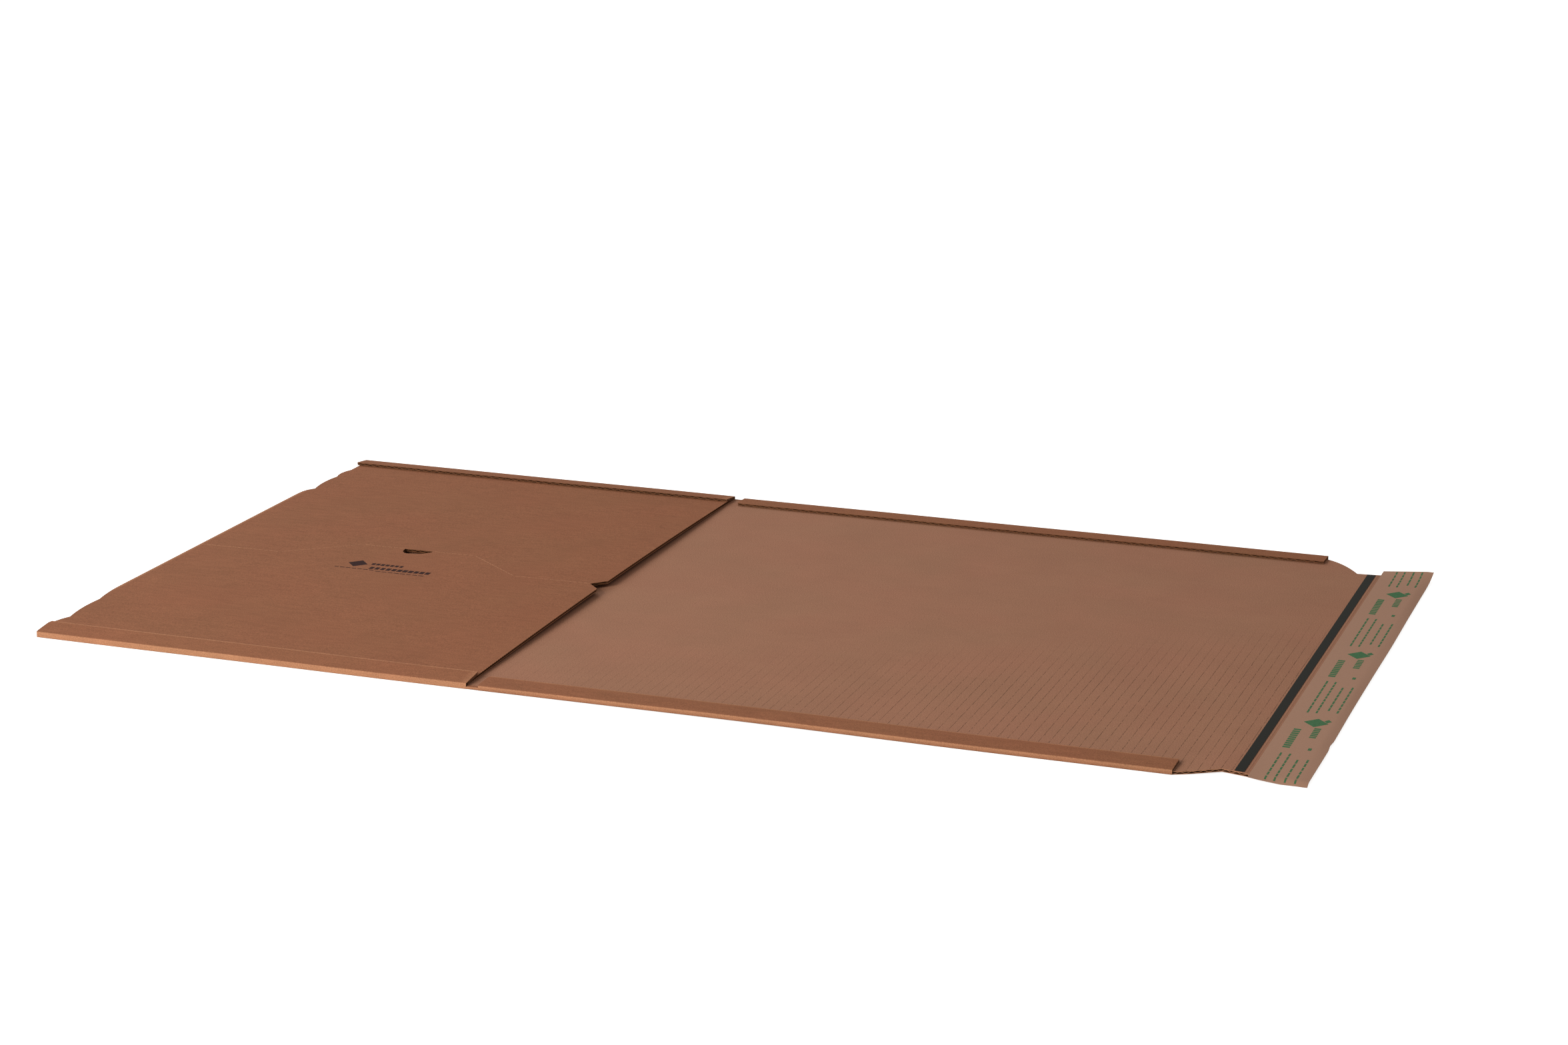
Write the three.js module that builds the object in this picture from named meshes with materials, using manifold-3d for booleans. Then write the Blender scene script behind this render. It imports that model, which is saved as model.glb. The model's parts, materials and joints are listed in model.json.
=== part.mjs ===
import * as THREE from 'three';
import { mergeVertices } from 'three/addons/utils/BufferGeometryUtils.js';
import Module from 'manifold-3d';

// Wraparound mailer of single-wall corrugated board, open and flat, in millimetres with +Z up.
// X runs from the pocket's folded end to the closing end, Y across the mailer.
// It is drawn from the fold line of the wrap flap, x = 0, and set over its own middle at the end.

// Board: two liners and a fluted medium, rolled thin so that it bends at every flute
const boardThickness = 2;
const linerThickness = 0.25;
const flutePitch = 6.5;
const fluteTipGap = 0.2;
const fluteFootGap = 0.7;

// Sheet
const mailerWidth = 500;
const pocketDepth = 319.5;
const spineWidth = 8;
const wrapStripLength = 456.5;
const shoulderLength = 27.5;
const closingEndLength = 47;
const foldLineGap = 0.3;

// Side strips, folded in over the pocket panel and over the wrap flap
const stripWidth = 19;
const pocketFoldHeight = 4.2;
const wrapFoldHeight = 3.4;
const foldRadius = 0.7;
const foldInside = 3;
const foldJoin = 8;
const stripLift = 0.15;
const stripSetback = 3.5;
const cutFluteDepth = 9;

// Pocket panel, folded back over the base at the left end
const pocketGap = 0.2;
const panelTuck = 11;
const crushedEdge = 1;
const mouthBow = 2.3;
const bowStart = 12;
const noseRadius = 1.3;
const noseWall = 2.1;

// Scalloped relief cuts at both ends of the pocket's fold, measured in from the side folds
const scallopDepth = 5;
const scallopRise = 3;
const nearCusps = [37.5, 78.5];
const farCusps = [36.5, 61, 99];
const noseEase = 30;

// Tear line across the pocket panel, with its jog, thumb hole and starting notch
const tearOffset = 19.5;
const tearStartRun = 65;
const tearSlopeRun = 48;
const tearJogRun = 90;
const slitLength = 4.5;
const slitNick = 1.5;
const slitWidth = 0.5;
const thumbHoleWidth = 23;
const thumbHoleDepth = 11.5;
const thumbHoleInJog = 44;
const notchWidth = 20.5;
const notchDepth = 9.5;

// Shoulders and closing end
const nearShoulderStart = 1;
const farShoulderStart = 5;
const nearShoulderBulge = 0.8;
const farShoulderBulge = 3;
const closingNearInset = 12;
const closingFarInset = 33;
const closingFlare = 2;
const closingFlareRun = 16.5;

// Tapes on the closing end
const tearStripInset = 7.5;
const tearStripWidth = 6;
const tearStripThickness = 0.2;
const linerInset = 17;
const linerWidth = 36.5;
const linerPaper = 0.15;
const linerNearOverhang = 6.5;
const linerFarOverhang = 10;
const adhesiveInset = 3;
const adhesiveWidth = 22;
const adhesiveThickness = 0.25;
const tapeEndMargin = 1;

// Lengths that follow from the sizes above
const halfWidth = mailerWidth / 2;
const mouthX = -spineWidth / 2;
const noseX = mouthX - pocketDepth;
const pocketStripStart = noseX + stripSetback;
const wrapStripStart = spineWidth / 2;
const shoulderX = wrapStripStart + wrapStripLength;
const closingX = shoulderX + shoulderLength;
const endX = closingX + closingEndLength;
const baseHalf = halfWidth - foldRadius - foldJoin / 3;
const stripInner = halfWidth - stripWidth;
const panelHalf = stripInner + panelTuck;
const panelFloor = boardThickness + pocketGap;
const panelTop = panelFloor + boardThickness;
const closingNearY = -(halfWidth - closingNearInset);
const closingFarY = halfWidth - closingFarInset;
const above = 4 * panelTop;

const wasm = await Module();
wasm.setup();

// A closed geometry as a solid that can be joined and cut
function solid(geometry) {
  const bare = geometry.clone();
  bare.deleteAttribute('normal');
  bare.deleteAttribute('uv');
  const merged = mergeVertices(bare, 1e-4);
  return new wasm.Manifold(new wasm.Mesh({
    numProp: 3,
    vertProperties: merged.attributes.position.array,
    triVerts: new Uint32Array(merged.index.array),
  }));
}

function outline(points) {
  return new THREE.Shape(points.map(([a, b]) => new THREE.Vector2(a, b)));
}

function extrude(shapes, depth) {
  return new THREE.ExtrudeGeometry(shapes, { depth, bevelEnabled: false, curveSegments: 6 });
}

// Plan shapes raised from z0 to z1
function upright(shapes, z0, z1) {
  return extrude(shapes, z1 - z0).translate(0, 0, z0);
}

// Sections drawn in Y and Z, run along X
function alongX(shapes, x0, x1) {
  const turn = new THREE.Matrix4().makeBasis(
    new THREE.Vector3(0, 1, 0), new THREE.Vector3(0, 0, 1), new THREE.Vector3(1, 0, 0));
  return extrude(shapes, x1 - x0).applyMatrix4(turn).translate(x0, 0, 0);
}

// Sections drawn in X and Z, run along Y
function alongY(shapes, y0, y1) {
  const turn = new THREE.Matrix4().makeBasis(
    new THREE.Vector3(1, 0, 0), new THREE.Vector3(0, 0, 1), new THREE.Vector3(0, -1, 0));
  return extrude(shapes, y1 - y0).applyMatrix4(turn).translate(0, y1, 0);
}

// Moves every vertex of a geometry to the height that place(x, y, z) gives
function reshape(geometry, place) {
  const at = geometry.attributes.position;
  for (let i = 0; i < at.count; i += 1) {
    at.setZ(i, place(at.getX(i), at.getY(i), at.getZ(i)));
  }
  return geometry;
}

// Flute cells between x0 and x1: the hollows under and over the wave of the medium
function fluteCells(x0, x1) {
  const foot = (flutePitch - fluteFootGap) / 2;
  const floor = linerThickness;
  const roof = boardThickness - linerThickness;
  const cells = [];
  for (let k = Math.ceil(2 * (x0 + foot) / flutePitch); k * flutePitch / 2 + foot < x1; k += 1) {
    const x = k * flutePitch / 2;
    const under = k % 2 === 0;
    const base = under ? floor : roof;
    const tip = under ? roof - fluteTipGap : floor + fluteTipGap;
    cells.push(outline([[x - foot, base], [x + foot, base], [x, tip]]));
  }
  return cells;
}

// Side strips: the lower and upper face of a folded strip at a distance in from its fold
function foldedStrip(foldHeight, seat) {
  const inFold = (u) => (u - foldInside) / (stripWidth - foldInside);
  const overFold = (u) => (u - foldRadius) / (stripWidth - foldRadius);
  const lower = (u) => boardThickness - stripLift / 3 + inFold(u) * (seat - boardThickness);
  const upper = (u) => foldHeight + overFold(u) * (seat + boardThickness - foldHeight);
  return { foldHeight, lower, upper };
}

const pocketStrip = foldedStrip(pocketFoldHeight, panelTop + stripLift);
const wrapStrip = foldedStrip(wrapFoldHeight, boardThickness + stripLift);

// Section of the fold and its strip at one side of the mailer, side -1 near and +1 far
function stripSection(strip, side) {
  const y = (u) => side * (halfWidth - u);
  const turns = 3;
  const points = [[y(foldJoin), 0]];
  for (const [centre, start] of [[foldRadius, -0.5], [strip.foldHeight - foldRadius, 0]]) {
    for (let i = 0; i <= turns; i += 1) {
      const angle = Math.PI * (start + 0.5 * i / turns);
      const u = foldRadius * (1 - Math.cos(angle));
      points.push([y(u), centre + foldRadius * Math.sin(angle)]);
    }
  }
  points.push([y(stripWidth), strip.upper(stripWidth)], [y(stripWidth), strip.lower(stripWidth)]);
  points.push([y(foldJoin), strip.lower(foldJoin)]);
  return outline(points);
}

function sideStrips(strip, x0, x1) {
  const near = solid(alongX(stripSection(strip, -1), x0, x1));
  return near.add(solid(alongX(stripSection(strip, 1), x0, x1)));
}

// Open flutes in the cut edge of a side strip, crushed towards the fold as the strip is
function stripFlutes(strip, x0, x1, side) {
  const cut = side * stripInner;
  const deep = cut + side * cutFluteDepth;
  const open = cut - side * foldLineGap;
  const cells = alongY(fluteCells(x0, x1), Math.min(deep, open), Math.max(deep, open));
  return solid(reshape(cells, (x, y, z) => {
    const u = Math.min(halfWidth - Math.abs(y), stripWidth);
    return strip.lower(u) + z / boardThickness * (strip.upper(u) - strip.lower(u));
  }));
}

// Pocket's left end, from the near side to the far side: relief scallops, then the straight fold
function scallop(path, y0, y1) {
  const x = noseX + scallopDepth;
  path.quadraticCurveTo(x - 2 * scallopRise, (y0 + y1) / 2, x, y1);
}

function pocketOutline(half, rightX) {
  const x = noseX + scallopDepth;
  const near = nearCusps.map((inset) => inset - halfWidth);
  const far = farCusps.map((inset) => halfWidth - inset).reverse();
  const path = new THREE.Shape();
  path.moveTo(rightX, -half);
  path.lineTo(x, -half);
  scallop(path, -half, near[0]);
  scallop(path, near[0], near[1]);
  path.quadraticCurveTo(noseX, near[1] + noseEase / 4, noseX, near[1] + noseEase);
  path.lineTo(noseX, far[0] - noseEase);
  path.quadraticCurveTo(noseX, far[0] - noseEase / 4, x, far[0]);
  scallop(path, far[0], far[1]);
  scallop(path, far[1], far[2]);
  path.lineTo(x, half);
  path.lineTo(rightX, half);
  return path;
}

// Height of the pocket panel's underside: flat at the fold and the strips, bowed up at the mouth
function panelUnderside(x, y) {
  const along = Math.max(0, x - noseX - bowStart) / (pocketDepth - bowStart);
  const across = 1 - Math.min(1, Math.abs(y) / stripInner) ** 2;
  return panelFloor + mouthBow * along ** 2 * across;
}

// Bowed panel on a grid whose first column is the flat fold and whose outer rows are crushed
function panelSheet() {
  const columns = 8;
  const rows = 12;
  const sheet = new THREE.BoxGeometry(1, 1, 1, columns, rows, 1);
  const at = sheet.attributes.position;
  for (let i = 0; i < at.count; i += 1) {
    const column = Math.round((at.getX(i) + 0.5) * columns);
    const row = Math.round((at.getY(i) + 0.5) * rows);
    const inside = (row - 1) / (rows - 2) * 2 - 1;
    const edge = row === 0 || row === rows;
    const x = column === 0 ? noseX
      : noseX + bowStart + (column - 1) / (columns - 1) * (pocketDepth - bowStart);
    const y = edge ? Math.sign(inside) * panelHalf : inside * stripInner;
    const ply = edge ? crushedEdge : boardThickness;
    at.setXYZ(i, x, y, panelUnderside(x, y) + (at.getZ(i) > 0 ? ply : 0));
  }
  return solid(sheet).intersect(solid(upright(pocketOutline(panelHalf, mouthX), 0, above)));
}

// The rounded fold that joins the base to the panel between the relief scallops
function noseFold() {
  const span = [nearCusps[1] - halfWidth, halfWidth - farCusps[2]];
  const section = new THREE.Shape();
  section.moveTo(noseX + 1.5 * noseWall, 0);
  section.lineTo(noseX + 1.5 * noseWall, panelTop);
  section.absarc(noseX + noseRadius, panelTop - noseRadius, noseRadius, Math.PI / 2, Math.PI, false);
  section.absarc(noseX + noseRadius, noseRadius, noseRadius, Math.PI, 1.5 * Math.PI, false);
  const round = solid(alongY(section, ...span));
  return round.intersect(solid(upright(pocketOutline(baseHalf, mouthX), -1, above)));
}

function noseClearance() {
  const [y0, y1] = [nearCusps[1] - halfWidth, halfWidth - farCusps[2]];
  const room = outline([[noseX - 1, y0], [noseX + noseWall, y0], [noseX + noseWall, y1], [noseX - 1, y1]]);
  return solid(upright(room, -1, above));
}

// Tear line: corner points from the folded end to the notch
const tearPath = [
  [noseX, -tearOffset],
  [noseX + tearStartRun, -tearOffset],
  [noseX + tearStartRun + tearSlopeRun, tearOffset],
  [noseX + tearStartRun + tearSlopeRun + tearJogRun, tearOffset],
  [noseX + tearStartRun + 2 * tearSlopeRun + tearJogRun, -tearOffset],
  [mouthX - notchDepth, -tearOffset],
].map(([x, y]) => new THREE.Vector2(x, y));
const thumbHoleX = tearPath[2].x + thumbHoleInJog;

function slitShapes() {
  const slits = [];
  const pitch = slitLength + slitNick;
  for (let leg = 0; leg < tearPath.length - 1; leg += 1) {
    const [from, to] = [tearPath[leg], tearPath[leg + 1]];
    const run = to.clone().sub(from);
    const count = Math.floor((run.length() - slitNick) / pitch);
    const first = (run.length() - count * pitch + slitNick) / 2;
    const along = run.clone().normalize();
    const side = new THREE.Vector2(-along.y, along.x).multiplyScalar(slitWidth / 2);
    for (let i = 0; i < count; i += 1) {
      const a = from.clone().addScaledVector(along, first + i * pitch);
      const b = a.clone().addScaledVector(along, slitLength);
      const clear = (thumbHoleWidth + slitNick) / 2;
      const inHole = leg === 2 && b.x > thumbHoleX - clear && a.x < thumbHoleX + clear;
      if (!inHole) {
        slits.push(new THREE.Shape([a.clone().sub(side), b.clone().sub(side),
          b.clone().add(side), a.clone().add(side)]));
      }
    }
  }
  return slits;
}

function thumbHoleShape() {
  const [x0, x1] = [thumbHoleX - thumbHoleWidth / 2, thumbHoleX + thumbHoleWidth / 2];
  const hole = new THREE.Shape();
  hole.moveTo(x0, tearOffset);
  hole.bezierCurveTo(x0, tearOffset - 1.75 * thumbHoleDepth,
    x1, tearOffset - 0.75 * thumbHoleDepth, x1, tearOffset);
  return hole;
}

function notchShape() {
  const half = notchWidth / 2 * (1 + 1 / notchDepth);
  return outline([[mouthX - notchDepth, -tearOffset],
    [mouthX + 1, -tearOffset - half], [mouthX + 1, -tearOffset + half]]);
}

// Open flutes that show in the far wall of the thumb hole and of the notch
function panelFlutes(x0, x1, y0, y1) {
  const cells = alongY(fluteCells(x0, x1), y0, y1);
  return solid(reshape(cells, (x, y, z) => panelUnderside(x, y) + z));
}

function pocketBoard() {
  const base = solid(upright(pocketOutline(baseHalf, -foldLineGap / 2), 0, boardThickness));
  const strips = sideStrips(pocketStrip, pocketStripStart, mouthX);
  const clearance = noseClearance();
  const cuts = [...slitShapes(), thumbHoleShape(), notchShape()];
  const holeFlutes = panelFlutes(thumbHoleX - thumbHoleWidth / 2, thumbHoleX + thumbHoleWidth / 2,
    tearOffset - slitWidth, tearOffset + cutFluteDepth);
  return base.subtract(clearance)
    .add(panelSheet().subtract(clearance))
    .add(noseFold())
    .add(strips)
    .add(spine(mouthX - foldRadius, -foldLineGap / 2))
    .subtract(stripFlutes(pocketStrip, pocketStripStart, mouthX, -1))
    .subtract(stripFlutes(pocketStrip, pocketStripStart, mouthX, 1))
    .subtract(solid(upright(cuts, boardThickness + pocketGap / 2, above)))
    .subtract(holeFlutes);
}

// The bare board of the spine, out to the line where the side strips fold
function spine(x0, x1) {
  const edge = halfWidth - foldRadius / 2;
  const bare = outline([[x0, -edge], [x1, -edge], [x1, edge], [x0, edge]]);
  return solid(upright(bare, 0, boardThickness));
}

// Wrap flap in plan: straight sides, rounded shoulders, cusps and the closing end
function wrapOutline() {
  const path = new THREE.Shape();
  path.moveTo(foldLineGap / 2, -baseHalf);
  path.lineTo(shoulderX - foldRadius, -baseHalf);
  path.lineTo(shoulderX - foldRadius, foldRadius - halfWidth);
  path.lineTo(shoulderX, nearShoulderStart - halfWidth);
  shoulder(path, closingX, closingNearY + closingFlare, nearShoulderBulge);
  path.lineTo(closingX + closingFlareRun, closingNearY);
  path.lineTo(endX, closingNearY);
  path.lineTo(endX, closingFarY);
  path.lineTo(closingX + closingFlareRun, closingFarY);
  path.lineTo(closingX, closingFarY - closingFlare);
  shoulder(path, shoulderX, halfWidth - farShoulderStart, farShoulderBulge);
  path.lineTo(shoulderX, baseHalf);
  path.lineTo(foldLineGap / 2, baseHalf);
  return path;
}

// A shoulder cut: a curve that stands out from its chord by the given bulge
function shoulder(path, x, y, bulge) {
  const from = path.currentPoint.clone();
  const to = new THREE.Vector2(x, y);
  const chord = to.clone().sub(from).normalize();
  const control = from.clone().add(to).multiplyScalar(0.5);
  control.add(new THREE.Vector2(chord.y, -chord.x).multiplyScalar(2 * bulge));
  path.quadraticCurveTo(control.x, control.y, x, y);
}

function wrapFlap() {
  const base = solid(upright(wrapOutline(), 0, boardThickness));
  const strips = sideStrips(wrapStrip, wrapStripStart, shoulderX);
  const openFlutes = solid(alongY(fluteCells(shoulderX + 1, endX - 1), -mailerWidth, mailerWidth));
  return base.add(strips)
    .add(spine(foldLineGap / 2, wrapStripStart + foldRadius))
    .subtract(stripFlutes(wrapStrip, wrapStripStart, shoulderX, -1))
    .subtract(stripFlutes(wrapStrip, wrapStripStart, shoulderX, 1))
    .subtract(openFlutes);
}

// A tape laid flat on the board along Y
function tape(x0, width, y0, y1, z, thickness) {
  const shape = outline([[x0, y0], [x0 + width, y0], [x0 + width, y1], [x0, y1]]);
  return upright(shape, z, z + thickness);
}

function tapeSpan(near, far) {
  return [closingNearY + near, closingFarY - far];
}

function board(name, part) {
  const mesh = part.getMesh();
  const geometry = new THREE.BufferGeometry();
  geometry.setAttribute('position', new THREE.BufferAttribute(mesh.vertProperties, 3));
  geometry.setIndex(new THREE.BufferAttribute(mesh.triVerts, 1));
  geometry.computeVertexNormals();
  const material = new THREE.MeshStandardMaterial({ color: 0x8f6048, roughness: 0.9, metalness: 0 });
  return named(name, geometry, material);
}

function named(name, geometry, material) {
  const mesh = new THREE.Mesh(geometry, material);
  mesh.name = name;
  return mesh;
}

function tearStrip() {
  const span = tapeSpan(closingFlare, closingFlare);
  const geometry = tape(closingX + tearStripInset, tearStripWidth, ...span,
    boardThickness, tearStripThickness);
  const material = new THREE.MeshStandardMaterial({ color: 0x2f322c, roughness: 0.7, metalness: 0 });
  return named('tear_strip', geometry, material);
}

function adhesiveStrip() {
  const geometry = tape(closingX + linerInset + adhesiveInset, adhesiveWidth,
    ...tapeSpan(tapeEndMargin, tapeEndMargin), boardThickness, adhesiveThickness);
  const material = new THREE.MeshStandardMaterial({ color: 0xcdb68c, roughness: 0.3, metalness: 0 });
  return named('adhesive_strip', geometry, material);
}

function releaseLiner() {
  const geometry = tape(closingX + linerInset, linerWidth,
    ...tapeSpan(-linerNearOverhang, -linerFarOverhang), boardThickness + adhesiveThickness, linerPaper);
  const material = new THREE.MeshStandardMaterial({ color: 0x9c7864, roughness: 0.6, metalness: 0 });
  return named('release_liner', geometry, material);
}

const mailer = new THREE.Group();
mailer.add(board('pocket_board', pocketBoard()));
mailer.add(board('wrap_flap', wrapFlap()));
mailer.add(tearStrip());
mailer.add(adhesiveStrip());
mailer.add(releaseLiner());

// The origin is the middle of the mailer's footprint, on the surface that it lies on
const rightmost = closingX + linerInset + linerWidth;
mailer.position.x = -(noseX + Math.max(rightmost, endX)) / 2;
mailer.updateMatrixWorld(true);

export default mailer;
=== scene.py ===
import json
import math

import bmesh
import bpy
import numpy as np
from mathutils import Matrix, Vector


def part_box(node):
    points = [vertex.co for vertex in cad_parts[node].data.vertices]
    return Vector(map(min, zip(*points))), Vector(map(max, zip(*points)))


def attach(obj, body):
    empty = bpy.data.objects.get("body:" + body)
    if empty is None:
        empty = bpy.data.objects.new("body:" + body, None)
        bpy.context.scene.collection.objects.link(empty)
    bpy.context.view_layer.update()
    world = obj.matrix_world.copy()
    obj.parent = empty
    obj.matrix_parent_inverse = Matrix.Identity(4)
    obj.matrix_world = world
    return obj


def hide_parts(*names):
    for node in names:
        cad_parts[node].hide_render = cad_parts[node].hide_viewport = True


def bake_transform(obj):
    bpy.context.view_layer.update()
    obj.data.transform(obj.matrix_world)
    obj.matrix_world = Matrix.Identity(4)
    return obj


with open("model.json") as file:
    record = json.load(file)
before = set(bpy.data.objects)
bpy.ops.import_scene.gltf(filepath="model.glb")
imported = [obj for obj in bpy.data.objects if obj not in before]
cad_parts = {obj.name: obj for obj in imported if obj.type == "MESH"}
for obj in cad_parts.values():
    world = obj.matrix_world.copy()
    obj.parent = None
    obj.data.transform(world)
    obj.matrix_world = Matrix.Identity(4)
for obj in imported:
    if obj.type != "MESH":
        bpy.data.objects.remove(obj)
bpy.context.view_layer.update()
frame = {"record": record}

# The view: a long lens a little over table height, looking at the mailer from its near right.
# The place, the aim and the roll come from the picture's own perspective.
camera_place = Vector((0.7693, -2.1419, 0.6862))
camera_forward = Vector((-0.32006, 0.90935, -0.26585))
camera_roll = math.radians(0.42)
lens_mm = 77.87
sensor_mm = 36
view_reach = 30

camera = bpy.data.objects.new("camera", bpy.data.cameras.new("camera"))
camera.data.lens = lens_mm
camera.data.sensor_width = sensor_mm
camera.data.clip_end = view_reach
camera.location = camera_place
aim = camera_forward.to_track_quat("-Z", "Y").to_matrix()
camera.rotation_euler = (aim @ Matrix.Rotation(camera_roll, 3, "Z")).to_euler()
bpy.context.collection.objects.link(camera)
bpy.context.scene.camera = camera

# The floor and the light: a white sweep in a pale room. The main soft light stands at the front
# left, and a weaker, cooler one at the back left. Seen directly, the room is white.
floor_size = 14.0
floor_drop = 0.0001
floor_tone = 0.80
floor_glow = 0.78
room_tone = (1.0, 0.97, 0.93)
room_strength = 0.41
back_light_power = 28.0
back_light_size = 1.5
back_light_tone = (0.86, 0.95, 1.0)
back_light_place = Vector((-1.75, 1.40, 1.15))
front_light_power = 72.0
front_light_size = 1.3
front_light_tone = (1.0, 0.98, 0.91)
front_light_place = Vector((-1.25, -2.25, 1.14))


def new_material(name):
    """A material with an empty node tree."""
    material = bpy.data.materials.new(name)
    material.use_nodes = True
    material.node_tree.nodes.clear()
    return material


def add_node(tree, kind, settings=None, **inputs):
    """A node with its settings, whose named inputs are set to values or joined to other sockets."""
    node = tree.nodes.new(kind)
    for key, value in (settings or {}).items():
        setattr(node, key, value)
    for key, value in inputs.items():
        socket = node.inputs[int(key[1:]) if key[1:].isdigit() else key.replace("_", " ")]
        if isinstance(value, bpy.types.NodeSocket):
            tree.links.new(value, socket)
        else:
            socket.default_value = value
    return node


def floor_material():
    """White paper that keeps the shadow, and that the camera sees lifted towards white."""
    material = new_material("white_sweep")
    tree = material.node_tree
    tone = (floor_tone, floor_tone, floor_tone, 1)
    paper = add_node(tree, "ShaderNodeBsdfDiffuse", Color=tone)
    glow = add_node(tree, "ShaderNodeEmission", Color=(1, 1, 1, 1), Strength=floor_glow)
    seen = add_node(tree, "ShaderNodeLightPath")
    lit = add_node(tree, "ShaderNodeAddShader", i0=paper.outputs[0], i1=glow.outputs[0])
    mix = add_node(tree, "ShaderNodeMixShader", i0=seen.outputs["Is Camera Ray"],
                   i1=paper.outputs[0], i2=lit.outputs[0])
    add_node(tree, "ShaderNodeOutputMaterial", Surface=mix.outputs[0])
    return material


floor_mesh = bpy.data.meshes.new("floor")
half_floor = floor_size / 2
floor_mesh.from_pydata(
    [(-half_floor, -half_floor, -floor_drop), (half_floor, -half_floor, -floor_drop),
     (half_floor, half_floor, -floor_drop), (-half_floor, half_floor, -floor_drop)],
    [], [(0, 1, 2, 3)])
floor = bpy.data.objects.new("floor", floor_mesh)
floor.data.materials.append(floor_material())
bpy.context.collection.objects.link(floor)

world = bpy.data.worlds.new("room")
world.use_nodes = True
bpy.context.scene.world = world
world.node_tree.nodes.clear()
room_light = add_node(world.node_tree, "ShaderNodeBackground",
                      Color=(*room_tone, 1), Strength=room_strength)
room_seen = add_node(world.node_tree, "ShaderNodeBackground", Color=(1, 1, 1, 1), Strength=1.0)
room_path = add_node(world.node_tree, "ShaderNodeLightPath")
room_mix = add_node(world.node_tree, "ShaderNodeMixShader", i0=room_path.outputs["Is Camera Ray"],
                    i1=room_light.outputs[0], i2=room_seen.outputs[0])
add_node(world.node_tree, "ShaderNodeOutputWorld", Surface=room_mix.outputs[0])


def soft_light(name, place, size, power, tone):
    """A round area light that faces the middle of the mailer."""
    lamp = bpy.data.objects.new(name, bpy.data.lights.new(name, "AREA"))
    lamp.data.shape = "DISK"
    lamp.data.size = size
    lamp.data.energy = power
    lamp.data.color = tone
    lamp.location = place
    lamp.rotation_euler = (-place).to_track_quat("-Z", "Y").to_euler()
    bpy.context.collection.objects.link(lamp)


soft_light("back_light", back_light_place, back_light_size, back_light_power, back_light_tone)
soft_light("front_light", front_light_place, front_light_size, front_light_power, front_light_tone)

# The board: one sheet of single-wall corrugated board. Its left end is folded back over itself as
# a pocket panel, and its sides are folded in as strips that hold the panel down and run on along
# the wrap flap. The real board bends freely only in the spine between the strips; here it is one
# piece.
mm = 0.001
fold_x = frame["record"]["behaviour"]["joints"][0]["pos_m"][0] / mm
pocket_box = np.array(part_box("pocket_board")) / mm
wrap_box = np.array(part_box("wrap_flap")) / mm

# Main sizes in millimetres, with x from the fold line of the wrap flap
ply = 2.0
liner = 0.34
medium = 0.3
crushed_medium = 0.62
flute_pitch = 6.5
samples_per_flute = 8
half_width = pocket_box[1][1]
nose_swell = 0.95
nose = pocket_box[0][0] - fold_x - nose_swell
board_end = wrap_box[1][0] - fold_x
spine = 4.0
mouth = -spine
shoulder = 460.5
closing = 488.0
near_closing = -238.0
far_closing = 217.0
flare = 2.0
flare_end = closing + 16.5
skin_start = 3.0
seam = 0.02

# Looks of the board: outer kraft, inner kraft, cut edges in a dark tone that is partly painted shade,
# hollows painted as shade, and torn edges in a pale tone that is partly painted light
outer_side, inner_side, cut_and_shade_side, hollow_shade_side, torn_and_lit_side = range(5)


def grid(xs, ys):
    """Both coordinates of every point of a grid with these columns and rows."""
    return np.meshgrid(np.asarray(xs, float), np.asarray(ys, float), indexing="ij")


def add_sheet(mesh, low, high, looks):
    """Adds a closed sheet of paper between two grids of points to a bmesh. The looks are the
    material numbers of its low face, its high face and its rim."""
    n, m = low.shape[:2]
    rows = [[mesh.verts.new(p) for p in points.reshape(-1, 3)] for points in (low, high)]
    for side, (verts, look) in enumerate(zip(rows, looks)):
        for i in range(n - 1):
            for j in range(m - 1):
                a, b = i * m + j, (i + 1) * m + j
                quad = [verts[a], verts[b], verts[b + 1], verts[a + 1]]
                face = mesh.faces.new(quad if side else quad[::-1])
                face.material_index = look
    rim = [i * m for i in range(n)] + [(n - 1) * m + j for j in range(1, m)]
    rim += [i * m + m - 1 for i in range(n - 2, -1, -1)] + list(range(m - 2, 0, -1))
    for k, a in enumerate(rim):
        b = rim[(k + 1) % len(rim)]
        face = mesh.faces.new([rows[0][a], rows[0][b], rows[1][b], rows[1][a]])
        face.material_index = looks[2]


def add_liners(mesh, place, xs, ys, looks):
    """Both liners of a stretch of board: place(x, y, h) puts a point at height h of the ply.
    The looks are those of the low face, the high face and the cut edges."""
    x, y = grid(xs, ys)
    share = liner / ply
    low, high, edge = looks
    # The liners' faces inside the board take the hollow look, painted shade
    add_sheet(mesh, place(x, y, 0 * x), place(x, y, 0 * x + share), (low, hollow_shade_side, edge))
    add_sheet(mesh, place(x, y, 0 * x + 1 - share), place(x, y, 0 * x + 1), (hollow_shade_side, high, edge))


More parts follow.
